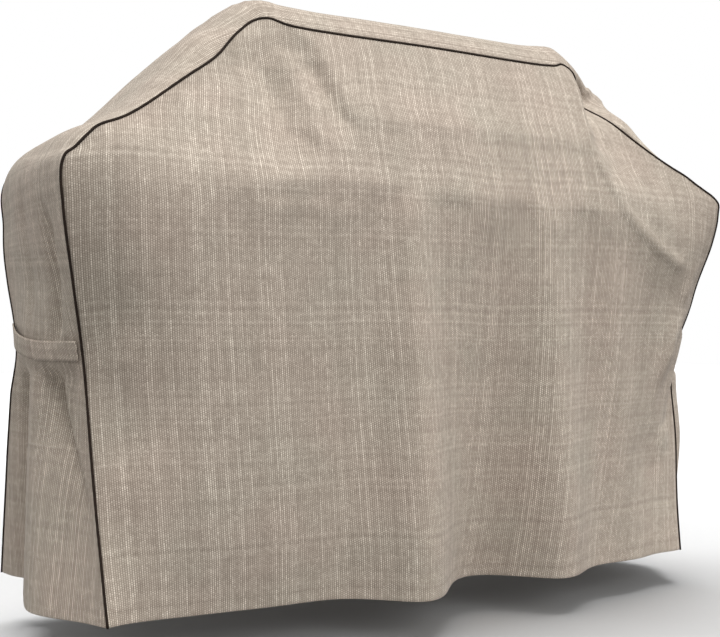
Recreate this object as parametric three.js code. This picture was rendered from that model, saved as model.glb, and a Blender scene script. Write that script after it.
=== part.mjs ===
// A fitted fabric cover for a wide cart grill, as it hangs over the grill.
//
// The cover is cut from woven polyester and sewn from three shaped pieces: a front panel, a back
// panel of the same outline, and one long gusset band that runs from the left hem up the side,
// over the sloped shoulders and the top, and down to the right hem. Corded piping covers the two
// seams. On each side a strap sewn into the front seam gathers the slack and closes with hook
// and loop near the back seam.
//
// Millimetres, +X to the right, +Y to the back, +Z up. The origin is the middle of the cover's
// box, at the height of the hem.

import * as THREE from 'three';

// ---------------------------------------------------------------- driving dimensions

const HEIGHT = 1225; // hem to the flat of the top
const HALF_WIDTH = 825; // middle to the front seam at the lower shoulder
const HEM_HALF_WIDTH = 728;
const BACK_HEM_HALF_WIDTH = 782;
const SHOULDER_FRONT = -230; // the front seam's depth at the shoulders
const SHOULDER_BACK = 280;
const HEM_FRONT = -195;
const HEM_BACK = 296;
const WAIST_HEIGHT = 480; // where the straps pull the seams together
const WAIST_FRONT = -140;
const WAIST_BACK = 205;
const LOWER_SHOULDER = 832;
const UPPER_SHOULDER = 900;
const TOP_SEAM_HEIGHT = 1161;
const TOP_SEAM_FRONT = -136;
const TOP_SEAM_BACK = 176;
const HOOD_OFFSET = 26; // the grill's hood stands this far right of the middle
const CROWN = 66; // how far the gusset stands above the seams over the hood
const MIDDLE_SHIFT = -4.6; // moves the finished cover so that the origin is the middle of its box

const FABRIC = 3; // thickness of the cloth with its backing
const PIPING_RADIUS = 2.5;
const CORD_HOLE_RADIUS = 1.7;
const CORD_RADIUS = 1.1;
const GAP = 0.4;
const SEAM_INSET = PIPING_RADIUS + 4 * GAP;

const BINDING_START = 8; // from the seam's centre line to the bound seam allowance
const BINDING_DEPTH = 12;
const BINDING_THICKNESS = 1.8;
const BINDING_ABOVE_HEM = 3;

const STRAP_WIDTH = 38;
const STRAP_THICKNESS = 2;
const STRAP_LIFT = 3.6; // from the gusset's outside to the strap's inside
const STRAP_BOW = 12; // how far the strap's middle stands out further
const PATCH_THICKNESS = 1.2;
const PATCH_LENGTH = 62;
const PATCH_WIDTH = 32;

// ---------------------------------------------------------------- small functions

const mix = (a, b, t) => a + (b - a) * t;

function ramp(from, to, value) {
  const t = Math.min(Math.max((value - from) / (to - from), 0), 1);
  return t * t * (3 - 2 * t);
}

// Rises at 45 degrees past zero, with a rounded start of the given softness.
function softRise(value, softness) {
  return value > 30 * softness ? value : softness * Math.log1p(Math.exp(value / softness));
}

function hump(value, centre, width) {
  return Math.exp(-(((value - centre) / width) ** 2));
}

// ---------------------------------------------------------------- seam lines

// One half of a seam, from the hem up the side and over the shoulder to the middle of the top.
// Both seams have the same stations, so that the gusset joins like to like.
function frontHalfSeam() {
  return [
    [HEM_HALF_WIDTH, HEM_FRONT, 0],
    [741, -155, 250],
    [756, WAIST_FRONT, WAIST_HEIGHT],
    [786, -174, 620],
    [818, -217, 755],
    [HALF_WIDTH, SHOULDER_FRONT, LOWER_SHOULDER],
    [806, -232, 872],
    [769, -232, UPPER_SHOULDER],
    [698, -213, 930],
    [567, -171, 1018],
    [470, -132, 1105],
    [428, -110, 1163],
    [392, -112, 1177],
    [345, -131, 1163],
    [0, TOP_SEAM_FRONT, TOP_SEAM_HEIGHT],
  ];
}

function backHalfSeam() {
  return [
    [BACK_HEM_HALF_WIDTH, HEM_BACK, 0],
    [784, 245, 270],
    [786, WAIST_BACK, WAIST_HEIGHT + 30],
    [796, 240, 645],
    [803, 272, 755],
    [803, SHOULDER_BACK, LOWER_SHOULDER - 12],
    [786, 281, 864],
    [750, 278, 896],
    [690, 266, 930],
    [565, 234, 1018],
    [470, 200, 1105],
    [428, 178, 1163],
    [392, 172, 1172],
    [345, 174, 1163],
    [0, TOP_SEAM_BACK, TOP_SEAM_HEIGHT],
  ];
}

const hoodShift = (z) => HOOD_OFFSET * ramp(960, 1150, z);

function fullSeam(half) {
  const left = half.map(([x, y, z]) => new THREE.Vector3(hoodShift(z) - x, y, z));
  const right = half.map(([x, y, z]) => new THREE.Vector3(hoodShift(z) + x, y, z));
  right.pop();
  const curve = new THREE.CatmullRomCurve3([...left, ...right.reverse()], false, 'centripetal');
  return curve;
}

const frontSeam = fullSeam(frontHalfSeam());
const backSeam = fullSeam(backHalfSeam());
const LAST_STATION = frontSeam.points.length - 1;
const SHOULDER_STATION = 7;
const TOP_CORNER_STATION = 11;

// How many rows of the mesh lie between one station of a half seam and the next.
const ROWS_BETWEEN_STATIONS = [3, 3, 3, 2, 2, 2, 2, 2, 2, 2, 2, 2, 2, 3];

function halfRows(lastStation) {
  const rows = [];
  for (let station = 0; station < lastStation; station += 1) {
    for (let k = 0; k < ROWS_BETWEEN_STATIONS[station]; k += 1) {
      rows.push(station + k / ROWS_BETWEEN_STATIONS[station]);
    }
  }
  rows.push(lastStation);
  return rows;
}

const seamPoint = (seam, station) => seam.getPoint(station / LAST_STATION);
const seamTangent = (seam, station) => seam.getTangent(station / LAST_STATION);
const sideRows = halfRows(TOP_CORNER_STATION);
const leftRows = halfRows(LAST_STATION / 2);
const allRows = [...leftRows, ...leftRows.slice(0, -1).reverse().map((s) => LAST_STATION - s)];

// ---------------------------------------------------------------- the drape of each panel

// The front panel's depth where it lies over the grill: the sloped lid, the shelf below it, and
// the skirt that hangs from the shelf's edge with two soft folds.
const SHELF_EDGE_HEIGHT = 825;
const SHELF_EDGE_FRONT = -266;
const LID_EDGE_HEIGHT = 976;
const SHELF_SLOPE = 0.24;
const LID_SLOPE = 0.5;

function frontHemDepth(x) {
  const foldLeft = -118 * hump(x, -105, 95);
  const foldRight = -108 * hump(x, 290, 88);
  const flare = -28 * hump(x, 520, 120);
  return -192 - 14 * hump(x, -330, 200) + foldLeft + foldRight + flare;
}

function frontDrape(x, z) {
  const fall = softRise(SHELF_EDGE_HEIGHT - z, 12) / SHELF_EDGE_HEIGHT;
  const drift = mix(-95, 0, 1 - fall);
  const skirt = (frontHemDepth(x + drift * (1 - fall)) - SHELF_EDGE_FRONT) * Math.min(fall, 1);
  const shelf = SHELF_SLOPE * softRise(z - SHELF_EDGE_HEIGHT, 12);
  const lid = (LID_SLOPE - SHELF_SLOPE) * softRise(z - LID_EDGE_HEIGHT, 6);
  return SHELF_EDGE_FRONT + skirt + shelf + lid;
}

// The back panel hangs straighter, over the back of the hood and the cart.
function backDrape(x, z) {
  const hood = -0.42 * softRise(z - 930, 25);
  const folds = 26 * Math.cos(x / 92) * ramp(780, 0, z);
  return 276 + hood + folds * hump(x, 0, 620) + 12 * ramp(500, 0, z);
}

// How far in from the seam the cloth needs to reach the drape's depth.
function blendWidth(z, side) {
  const flat = mix(150, 265, ramp(640, 830, z));
  const slope = side < 0 ? 400 : 170;
  return mix(flat, mix(slope, 60, ramp(960, TOP_SEAM_HEIGHT, z)), ramp(840, 960, z));
}

// One row of a panel, across from the left seam to the right seam.
function panelRow(seam, drape, station, columns, topCurve) {
  const left = seamPoint(seam, station);
  const right = seamPoint(seam, LAST_STATION - station);
  const tangent = seamTangent(seam, station);
  const rise = Math.hypot(tangent.y, tangent.z);
  const inset = SEAM_INSET / Math.max(rise, 0.3) + 3 * SEAM_INSET * ramp(1080, TOP_SEAM_HEIGHT, left.z);
  const lift = ramp(1060, TOP_SEAM_HEIGHT, left.z);
  const row = [];
  for (let k = 0; k <= columns; k += 1) {
    const u = 0.5 - 0.5 * Math.cos(Math.PI * mix(0.06, 0.94, k / columns)) / Math.cos(Math.PI * 0.06);
    const x = mix(left.x + inset, right.x - inset, u);
    const fromLeft = Math.min((x - left.x) / blendWidth(left.z, -1), 1);
    const fromRight = Math.min((right.x - x) / blendWidth(left.z, 1), 1);
    const weight = Math.sin(Math.min(fromLeft, fromRight) * Math.PI / 2);
    const depth = mix(left.y, drape(x, left.z), weight);
    const top = topCurve(x);
    const y = mix(depth, top.y, lift ** 3);
    const z = mix(left.z, top.z, lift ** 3);
    row.push(new THREE.Vector3(x, y, z));
  }
  return row;
}

// The seam's height and depth along the top, just below the piping.
function topEdge(seam, sign) {
  const samples = [];
  const steps = 60;
  for (let k = 0; k <= steps; k += 1) {
    samples.push(seamPoint(seam, mix(TOP_CORNER_STATION, LAST_STATION - TOP_CORNER_STATION, k / steps)));
  }
  return (x) => {
    let k = 0;
    while (k < steps - 1 && samples[k + 1].x < x) k += 1;
    const run = samples[k + 1].x - samples[k].x;
    const slope = (samples[k + 1].z - samples[k].z) / run;
    const drop = 1.3 * SEAM_INSET * Math.hypot(1, slope);
    const t = Math.min(Math.max((x - samples[k].x) / run, 0), 1);
    const y = mix(samples[k].y, samples[k + 1].y, t) + sign * 0.45 * SEAM_INSET;
    const z = mix(samples[k].z, samples[k + 1].z, t) - drop;
    return { y, z };
  };
}

// How the gusset stands out of the straight line between the two seams.
// across runs from 0 at the front seam to 1 at the back seam.
function gussetBulge(across, z, station) {
  const fromHem = Math.min(station, LAST_STATION - station);
  if (fromHem >= SHOULDER_STATION) {
    const arch = (1 - Math.abs(2 * across - 1) ** 3.4) ** 0.75;
    const crown = mix(14, CROWN, ramp(SHOULDER_STATION, SHOULDER_STATION + 3, fromHem));
    return Math.min(crown * Math.min(1, 1.03 * arch), (HEIGHT - z) / gussetOutward(station).z);
  }
  const full = mix(20, 14, ramp(WAIST_HEIGHT + 20, WAIST_HEIGHT + 170, z)) * Math.sin(Math.PI * across);
  const below = ramp(WAIST_HEIGHT - 20, WAIST_HEIGHT - 130, z);
  const fold = 60 * hump(across, 0.42, 0.2) - 26 * hump(across, 0.77, 0.09);
  const fade = mix(1, 0.6, z / WAIST_HEIGHT) * Math.sin(Math.PI * across) ** 0.5;
  return mix(full, fold * fade, below);
}

function gussetOutward(station) {
  const a = seamPoint(frontSeam, station);
  const b = seamPoint(backSeam, station);
  const along = seamTangent(frontSeam, station).add(seamTangent(backSeam, station)).normalize();
  const outward = along.cross(b.sub(a));
  if (Math.min(station, LAST_STATION - station) < SHOULDER_STATION - 2) outward.z = 0;
  return outward.normalize();
}

// A point on the gusset's outside.
function gussetPoint(station, across) {
  const a = seamPoint(frontSeam, station);
  const b = seamPoint(backSeam, station);
  const z = mix(a.z, b.z, across);
  const point = a.clone().lerp(b, across);
  return point.addScaledVector(gussetOutward(station), gussetBulge(across, z, station));
}

// A run across the gusset that stops short of the piping at both ends.
function gussetRow(station, columns) {
  const fine = [];
  const steps = 80;
  for (let k = 0; k <= steps; k += 1) fine.push(gussetPoint(station, k / steps));
  const length = [0];
  for (let k = 1; k <= steps; k += 1) length.push(length[k - 1] + fine[k].distanceTo(fine[k - 1]));
  const total = length[steps];
  const row = [];
  for (let k = 0; k <= columns; k += 1) {
    const share = mix(k / columns, 0.5 - 0.5 * Math.cos((Math.PI * k) / columns), 0.6);
    const target = mix(SEAM_INSET, total - SEAM_INSET, share);
    let j = 0;
    while (j < steps - 1 && length[j + 1] < target) j += 1;
    row.push(fine[j].clone().lerp(fine[j + 1], (target - length[j]) / (length[j + 1] - length[j])));
  }
  return row;
}

// ---------------------------------------------------------------- closed solids from surfaces

// Builds the closed sheet of the given thickness behind a grid of points. The grid's rows and
// columns run so that their cross product points out of the cover.
function sheetGeometry(rows, thickness, level) {
  const count = rows.length;
  const width = rows[0].length;
  const normalAt = (i, j) => {
    const up = rows[Math.min(i + 1, count - 1)][j].clone().sub(rows[Math.max(i - 1, 0)][j]);
    const over = rows[i][Math.min(j + 1, width - 1)].clone().sub(rows[i][Math.max(j - 1, 0)]);
    const normal = over.cross(up);
    if (level && (i === 0 || (level === 'both' && i === count - 1))) normal.z = 0;
    return normal.normalize();
  };
  const positions = [];
  const add = (p) => positions.push(p.x, p.y + MIDDLE_SHIFT, p.z);
  rows.forEach((row) => row.forEach((p) => add(p)));
  rows.forEach((row, i) => row.forEach((p, j) => {
    add(p.clone().addScaledVector(normalAt(i, j), -thickness));
  }));
  const faces = [];
  const quad = (a, b, c, d) => faces.push(a, b, c, a, c, d);
  const outer = (i, j) => i * width + j;
  const inner = (i, j) => (count + i) * width + j;
  for (let i = 0; i < count - 1; i += 1) {
    for (let j = 0; j < width - 1; j += 1) {
      quad(outer(i, j), outer(i, j + 1), outer(i + 1, j + 1), outer(i + 1, j));
      quad(inner(i, j), inner(i + 1, j), inner(i + 1, j + 1), inner(i, j + 1));
    }
    quad(outer(i, 0), outer(i + 1, 0), inner(i + 1, 0), inner(i, 0));
    quad(outer(i, width - 1), inner(i, width - 1), inner(i + 1, width - 1), outer(i + 1, width - 1));
  }
  for (let j = 0; j < width - 1; j += 1) {
    quad(outer(0, j), inner(0, j), inner(0, j + 1), outer(0, j + 1));
    quad(outer(count - 1, j), outer(count - 1, j + 1), inner(count - 1, j + 1), inner(count - 1, j));
  }
  const geometry = new THREE.BufferGeometry();
  geometry.setAttribute('position', new THREE.Float32BufferAttribute(positions, 3));
  geometry.setIndex(faces);
  geometry.computeVertexNormals();
  return geometry;
}

// The seam as a path whose steps fall on the panels' rows.
class SeamPath extends THREE.Curve {
  constructor(seam) {
    super();
    this.points = allRows.map((station) => seamPoint(seam, station));
    this.points.forEach((p) => { p.y += MIDDLE_SHIFT; });
  }

  getPoint(t, target = new THREE.Vector3()) {
    const place = t * (this.points.length - 1);
    const k = Math.min(Math.floor(place), this.points.length - 2);
    return target.lerpVectors(this.points[k], this.points[k + 1], place - k);
  }

  getPointAt(t, target) {
    return this.getPoint(t, target);
  }

  getTangentAt(t, target = new THREE.Vector3()) {
    const step = 0.5 / (this.points.length - 1);
    if (t === 0 || t === 1) return target.set(0, 0, 1 - 2 * t); // square ends at the hem
    const ahead = this.getPoint(Math.min(t + step, 1));
    return target.copy(ahead).sub(this.getPoint(Math.max(t - step, 0))).normalize();
  }
}

// ---------------------------------------------------------------- materials

const cloth = () => new THREE.MeshStandardMaterial({ color: 0x9e9387, roughness: 0.92, metalness: 0 });
const brownTrim = () => new THREE.MeshStandardMaterial({ color: 0x32261e, roughness: 0.75, metalness: 0 });
const whiteCord = () => new THREE.MeshStandardMaterial({ color: 0xd9d4c8, roughness: 0.9, metalness: 0 });
const hookTape = () => new THREE.MeshStandardMaterial({ color: 0x6f655b, roughness: 0.95, metalness: 0 });

function named(name, geometry, material) {
  const mesh = new THREE.Mesh(geometry, material);
  mesh.name = name;
  return mesh;
}

// ---------------------------------------------------------------- the sewn panels

function frontPanel() {
  const edge = topEdge(frontSeam, -1);
  const rows = sideRows.map((station) => panelRow(frontSeam, frontDrape, station, 26, edge));
  return named('front_panel', sheetGeometry(rows, FABRIC, 'bottom'), cloth());
}

function backPanel() {
  const edge = topEdge(backSeam, 1);
  const rows = sideRows.map((station) => panelRow(backSeam, backDrape, station, 14, edge).reverse());
  return named('back_panel', sheetGeometry(rows, FABRIC, 'bottom'), cloth());
}

function gussetBand() {
  const rows = allRows.map((station) => gussetRow(station, 10).reverse());
  return named('gusset_band', sheetGeometry(rows, FABRIC, 'both'), cloth());
}

// ---------------------------------------------------------------- piping

function circle(radius, sides) {
  const points = [];
  for (let k = 0; k < sides; k += 1) {
    const angle = (2 * Math.PI * k) / sides;
    points.push(new THREE.Vector2(radius * Math.cos(angle), radius * Math.sin(angle)));
  }
  return points;
}

function pipingWrap(name, seam) {
  const section = new THREE.Shape(circle(PIPING_RADIUS, 8));
  section.holes.push(new THREE.Path(circle(CORD_HOLE_RADIUS, 6).reverse()));
  const settings = { steps: allRows.length - 1, extrudePath: new SeamPath(seam), bevelEnabled: false };
  return named(name, new THREE.ExtrudeGeometry(section, settings), brownTrim());
}

function pipingCord(name, seam) {
  const section = new THREE.Shape(circle(CORD_RADIUS, 6));
  const settings = { steps: allRows.length - 1, extrudePath: new SeamPath(seam), bevelEnabled: false };
  return named(name, new THREE.ExtrudeGeometry(section, settings), whiteCord());
}

// The bound seam allowance, a narrow fin that runs along the inside of a seam.
function seamBinding(name, seam, inwardSign) {
  const rows = allRows.map((station) => {
    const centre = seamPoint(seam, station);
    const back = seamPoint(backSeam, station).sub(seamPoint(frontSeam, station)).normalize();
    const inward = back.multiplyScalar(inwardSign).sub(gussetOutward(station)).normalize();
    const along = seamTangent(seam, station);
    const side = inward.clone().cross(along).normalize().multiplyScalar(0.5 * BINDING_THICKNESS);
    const start = centre.clone().addScaledVector(inward, BINDING_START).add(side);
    const end = start.clone().addScaledVector(inward, BINDING_DEPTH);
    start.z = Math.max(start.z, BINDING_ABOVE_HEM);
    end.z = Math.max(end.z, BINDING_ABOVE_HEM);
    return [start, end];
  });
  return named(name, sheetGeometry(rows, BINDING_THICKNESS, 'both'), brownTrim());
}

// ---------------------------------------------------------------- straps

// A flat strip that follows the gusset at waist height, from one place across it to another.
function strapStrip(side, from, to, width, lift, thickness, columns) {
  const station = side < 0 ? 2 : LAST_STATION - 2;
  const outward = gussetOutward(station);
  const rows = [-0.5, 0.5].map((half) => {
    const row = [];
    for (let k = 0; k <= columns; k += 1) {
      const across = mix(from, to, k / columns);
      const point = gussetPoint(station, across);
      point.addScaledVector(outward, lift + thickness + STRAP_BOW * Math.sin(Math.PI * across));
      point.z += half * width;
      row.push(point);
    }
    return side < 0 ? row.reverse() : row;
  });
  return sheetGeometry(rows, thickness, null);
}

function strapSet(side, word) {
  const patchStart = 0.76;
  const patchEnd = patchStart + PATCH_LENGTH / 350;
  const strap = strapStrip(side, 0.022, 0.962, STRAP_WIDTH, STRAP_LIFT, STRAP_THICKNESS, 12);
  const hookLift = STRAP_LIFT - GAP - PATCH_THICKNESS;
  const hook = strapStrip(side, patchStart, patchEnd, PATCH_WIDTH, hookLift, PATCH_THICKNESS, 3);
  const loopLift = hookLift - GAP - PATCH_THICKNESS;
  const loop = strapStrip(side, patchStart, patchEnd, PATCH_WIDTH, loopLift, PATCH_THICKNESS, 3);
  return [
    named(`${word}_strap`, strap, cloth()),
    named(`${word}_strap_hook_patch`, hook, hookTape()),
    named(`${word}_strap_loop_patch`, loop, hookTape()),
  ];
}

// ---------------------------------------------------------------- the cover

const cover = new THREE.Group();
cover.add(frontPanel());
cover.add(backPanel());
cover.add(gussetBand());
cover.add(pipingWrap('front_piping', frontSeam));
cover.add(pipingWrap('back_piping', backSeam));
cover.add(pipingCord('front_piping_cord', frontSeam));
cover.add(pipingCord('back_piping_cord', backSeam));
cover.add(seamBinding('front_seam_binding', frontSeam, 1));
cover.add(seamBinding('back_seam_binding', backSeam, -1));
cover.add(...strapSet(-1, 'left'));
cover.add(...strapSet(1, 'right'));

export default cover;
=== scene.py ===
import bpy
import numpy as np
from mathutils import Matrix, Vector
from mathutils.geometry import delaunay_2d_cdt


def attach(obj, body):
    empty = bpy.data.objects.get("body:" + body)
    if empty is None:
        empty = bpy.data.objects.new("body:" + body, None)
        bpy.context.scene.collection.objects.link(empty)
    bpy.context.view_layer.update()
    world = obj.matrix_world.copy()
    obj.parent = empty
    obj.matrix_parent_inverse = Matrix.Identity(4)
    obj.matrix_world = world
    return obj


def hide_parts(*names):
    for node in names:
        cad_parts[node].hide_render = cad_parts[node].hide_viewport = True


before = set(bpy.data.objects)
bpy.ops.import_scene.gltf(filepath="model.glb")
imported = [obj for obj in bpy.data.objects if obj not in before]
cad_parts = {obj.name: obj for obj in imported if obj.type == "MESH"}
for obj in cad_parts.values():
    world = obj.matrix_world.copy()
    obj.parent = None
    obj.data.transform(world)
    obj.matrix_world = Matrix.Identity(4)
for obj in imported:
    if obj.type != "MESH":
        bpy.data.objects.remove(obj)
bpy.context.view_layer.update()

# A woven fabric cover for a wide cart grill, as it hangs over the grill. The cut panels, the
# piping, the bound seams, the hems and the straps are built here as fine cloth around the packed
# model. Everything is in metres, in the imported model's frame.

# -------- sizes

MIDDLE_SHIFT = -0.0046  # from the frame in which the seams and drapes below are written
STEP = 0.008  # spacing of the cloth's mesh
CLOTH = 0.0012  # thickness of the cloth with its backing
HEIGHT = 1.225
PIPING_RADIUS = 0.0026
PIPING_HOLE = 0.0016  # the wrap's inner radius
CORD_RADIUS = 0.0012
SHELF_HEIGHT = 0.825  # the edge that the front's skirt hangs from
WAIST_HEIGHT = 0.480  # where the straps pull the seams together
STRAP_LENGTH = 0.37
STRAP_START, STRAP_END = 0.020, 0.962  # shares of the way across the gusset, from the front seam
STRAP_WIDTH = 0.038
STRAP_THICKNESS = 0.002
STRAP_LIFT = 0.0036  # from the gusset's outside to the strap's inside
STRAP_BOW = 0.004  # how much more it stands off midway
STRAP_LOW = 0.482  # the strap's lower edge
STRAP_RISE = 0.037  # the strap climbs this much towards its free end
STRAP_SEAM_INSET = 0.004  # from the strap's edge to its stitches
PATCH_START, PATCH_END = 0.76, 0.937  # across the gusset, as for the strap
PATCH_MARGIN = 0.003  # from the strap's edge to the patch
PATCH_THICKNESS = 0.0012
PATCH_GAP = 0.0003  # keeps a patch clear of the cloth that it is sewn to
STRIP_STEP, STRIP_ROW = 0.006, 0.0048  # spacing of a strap's mesh along and across it
BINDING_START = 0.0045  # from the seam line
BINDING_DEPTH = 0.0155
BINDING_THICKNESS = 0.0014
HEM_FOLD = 0.0032  # the folded hem's thickness
HEM_DEPTH = 0.030
HEM_STITCH_HEIGHT = 0.026
HEM_STITCH_LIFT = 0.0001
PANEL_HEM_INSET, GUSSET_HEM_INSET = 0.008, 0.035  # the turned-up part stops short of the side seams
PANEL_COLUMNS, GUSSET_COLUMNS = int(1.65 / STEP), int(0.54 / STEP)
PIPING_STEP = 0.005
PIPING_SIDES, CORD_SIDES = 16, 12
CORD_LAY = 0.02  # the length of one turn of the cord's strands
HOOD_OFFSET = 0.026  # the grill's hood stands this far right of the middle

# -------- small functions


def mix(a, b, t):
    return a + (b - a) * t


def ramp(start, end, value):
    t = np.clip((value - start) / (end - start), 0, 1)
    return t * t * (3 - 2 * t)


def hump(value, centre, width):
    return np.exp(-(((value - centre) / width) ** 2))


def unit(vectors):
    return vectors / np.maximum(np.linalg.norm(vectors, axis=-1, keepdims=True), 1e-12)


def lengths_along(points, axis=0):
    """Running length along one axis of a grid of points."""
    steps = np.linalg.norm(np.diff(points, axis=axis), axis=-1)
    start = np.zeros_like(np.take(steps, [0], axis=axis))
    return np.concatenate([start, np.cumsum(steps, axis=axis)], axis=axis)


def points_at(place, run, points):
    """The points found at the given places, where run holds each point's own place."""
    return np.stack([np.interp(place, run, points[:, k]) for k in range(3)], axis=-1)


# -------- seam lines

FRONT_HALF_SEAM = [
    (0.728, -0.195, 0.000),  # hem
    (0.741, -0.155, 0.250),
    (0.756, -0.140, 0.480),  # waist, where the strap is sewn in
    (0.786, -0.174, 0.620),
    (0.818, -0.217, 0.755),
    (0.825, -0.230, 0.832),  # lower shoulder
    (0.806, -0.232, 0.872),
    (0.769, -0.232, 0.900),  # upper shoulder
    (0.698, -0.213, 0.930),
    (0.567, -0.171, 1.018),
    (0.470, -0.132, 1.105),
    (0.428, -0.110, 1.163),  # top corner
    (0.392, -0.112, 1.177),
    (0.345, -0.131, 1.163),
    (0.000, -0.136, 1.161),  # middle of the top
]

BACK_HALF_SEAM = [
    (0.782, 0.296, 0.000),
    (0.784, 0.245, 0.270),
    (0.786, 0.205, 0.510),
    (0.796, 0.240, 0.645),
    (0.803, 0.272, 0.755),
    (0.803, 0.280, 0.820),
    (0.786, 0.281, 0.864),
    (0.750, 0.278, 0.896),
    (0.690, 0.266, 0.930),
    (0.565, 0.234, 1.018),
    (0.470, 0.200, 1.105),
    (0.428, 0.178, 1.163),
    (0.392, 0.172, 1.172),
    (0.345, 0.174, 1.163),
    (0.000, 0.176, 1.161),
]

STATIONS = 2 * len(FRONT_HALF_SEAM) - 2
CORNER_STATION = 11  # the last station of a panel's side edge


def full_seam(half):
    """The whole seam's stations, from the left hem over the top to the right hem."""
    points = np.array(half)
    shift = HOOD_OFFSET * ramp(0.960, 1.150, points[:, 2])
    left, right = points.copy(), points.copy()
    left[:, 0] = shift - points[:, 0]
    right[:, 0] = shift + points[:, 0]
    return np.concatenate([left, right[-2::-1]])


FRONT_SEAM = full_seam(FRONT_HALF_SEAM)
BACK_SEAM = full_seam(BACK_HALF_SEAM)


def along_seam(points, station):
    """Points on the smooth curve through the seam's stations (a centripetal Catmull-Rom curve)."""
    station = np.clip(np.asarray(station, float), 0, STATIONS)
    k = np.minimum(station.astype(int), STATIONS - 1)
    w = (station - k)[..., None]
    padded = np.concatenate([[2 * points[0] - points[1]], points, [2 * points[-1] - points[-2]]])
    p0, p1, p2, p3 = (padded[k + i] for i in range(4))
    gaps = [np.sqrt(np.linalg.norm(b - a, axis=-1, keepdims=True)) for a, b in ((p0, p1), (p1, p2), (p2, p3))]
    slope1 = ((p1 - p0) / gaps[0] - (p2 - p0) / (gaps[0] + gaps[1]) + (p2 - p1) / gaps[1]) * gaps[1]
    slope2 = ((p2 - p1) / gaps[1] - (p3 - p1) / (gaps[1] + gaps[2]) + (p3 - p2) / gaps[2]) * gaps[1]
    square = -3 * p1 + 3 * p2 - 2 * slope1 - slope2
    cube = 2 * p1 - 2 * p2 + slope1 + slope2
    return p1 + slope1 * w + square * w**2 + cube * w**3


def even_stations(points, start, end, step):
    """Station values a fixed length apart along the seam."""
    fine = np.linspace(start, end, 4000)
    length = lengths_along(along_seam(points, fine))
    count = int(round(length[-1] / step)) + 1
    return np.interp(np.linspace(0, length[-1], count), length, fine)


def settle(points):
    """The finished cover's own unevenness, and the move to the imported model's frame."""
    x, y, z = points[..., 0], points[..., 1], points[..., 2]
    back_left = ramp(-0.55, -0.72, x) * ramp(0.02, 0.22, y)
    front = ramp(0.08, -0.10, y)
    front_right = ramp(0.55, 0.70, x) * front
    left_slope = ramp(-0.38, -0.44, x) * hump(z, 1.020, 0.075)
    right_slope = ramp(0.42, 0.46, x) * hump(z, 1.040, 0.080)
    corner = ramp(0.435, 0.478, x) * ramp(0.02, -0.11, y) * hump(z, 1.105, 0.042)
    left_top = ramp(-0.37, -0.43, x) * front * hump(z, 1.112, 0.036)
    shoulder = ramp(0.70, 0.76, x) * front * hump(z, 0.900, 0.026)
    left_shoulder = ramp(-0.74, -0.78, x) * front * hump(z, 0.878, 0.020)
    right_top = ramp(0.36, 0.42, x) * front * hump(z, 1.155, 0.028)
    low_shoulder = ramp(0.77, 0.80, x) * front * hump(z, 0.852, 0.015)
    out = points.copy()
    out[..., 0] += 0.007 * low_shoulder + 0.009 * right_top
    out[..., 0] += front_right * (0.015 * hump(z, 0.27, 0.14) + 0.015 * hump(z, 0.565, 0.085))
    out[..., 0] -= (
        0.010 * back_left * ramp(0.50, 0.40, z) - 0.009 * corner + 0.004 * left_slope + 0.010 * left_top
    )
    out[..., 0] += 0.008 * back_left * hump(z, 0.775, 0.060)
    out[..., 1] += MIDDLE_SHIFT + 0.063 * corner
    out[..., 2] += 0.022 * ramp(0.36, 0, z) * back_left + 0.007 * (left_slope + left_top)
    out[..., 2] -= 0.006 * right_slope + 0.014 * (shoulder + left_shoulder) + 0.004 * right_top
    return out


# -------- the drape of the front

# Where the cloth lies: (across, height, depth). The skirt's own folds are added to it.
SHELF_EDGE = [
    (-0.712, 0.884, -0.240), (-0.687, 0.860, -0.245), (-0.644, 0.842, -0.252), (-0.592, 0.822, -0.258),
    (-0.538, 0.818, -0.262), (-0.482, 0.822, -0.264), (-0.415, 0.828, -0.266), (-0.351, 0.833, -0.267),
    (-0.308, 0.836, -0.267), (-0.257, 0.836, -0.267), (-0.190, 0.832, -0.266), (-0.093, 0.827, -0.266),
    (0.021, 0.823, -0.266), (0.182, 0.820, -0.266), (0.281, 0.817, -0.266), (0.382, 0.815, -0.266),
]
HOOD_LEFT_EDGE = [
    (-0.363, 1.116, -0.134), (-0.336, 1.060, -0.168), (-0.319, 0.986, -0.212), (-0.316, 0.930, -0.239),
    (-0.310, 0.880, -0.254),
]
HOLLOW = [(-0.398, 1.080, -0.131), (-0.388, 1.045, -0.142), (-0.376, 1.000, -0.161), (-0.368, 0.945, -0.198)]
LID_LEFT_EDGE = [
    (-0.276, 1.130, -0.149), (-0.257, 1.085, -0.173), (-0.241, 1.018, -0.209), (-0.228, 0.974, -0.231),
]
BESIDE_LID = [
    (-0.300, 1.106, -0.142), (-0.286, 1.070, -0.153), (-0.268, 1.020, -0.179), (-0.254, 0.972, -0.210),
]
LID_LOWER_EDGE = [
    (-0.228, 0.974, -0.231), (-0.100, 0.973, -0.231), (0.100, 0.973, -0.231), (0.280, 0.973, -0.231),
    (0.405, 0.968, -0.232),
]
UNDER_LID = [
    (-0.220, 0.944, -0.2365), (-0.050, 0.943, -0.2365), (0.200, 0.943, -0.2365), (0.395, 0.938, -0.2375),
]
LID_RIGHT_EDGE = [
    (0.440, 1.110, -0.159), (0.430, 1.067, -0.181), (0.418, 1.000, -0.217), (0.405, 0.968, -0.232),
]
TIGHT_FOLD = [
    (0.405, 0.968, -0.232), (0.428, 0.922, -0.243), (0.456, 0.868, -0.253), (0.489, 0.818, -0.260),
    (0.538, 0.774, -0.261), (0.605, 0.730, -0.256), (0.680, 0.697, -0.242), (0.740, 0.672, -0.226),
]
UNDER_FOLD = [(0.462, 0.760, -0.256), (0.512, 0.710, -0.250), (0.584, 0.660, -0.241), (0.668, 0.628, -0.223)]
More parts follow.
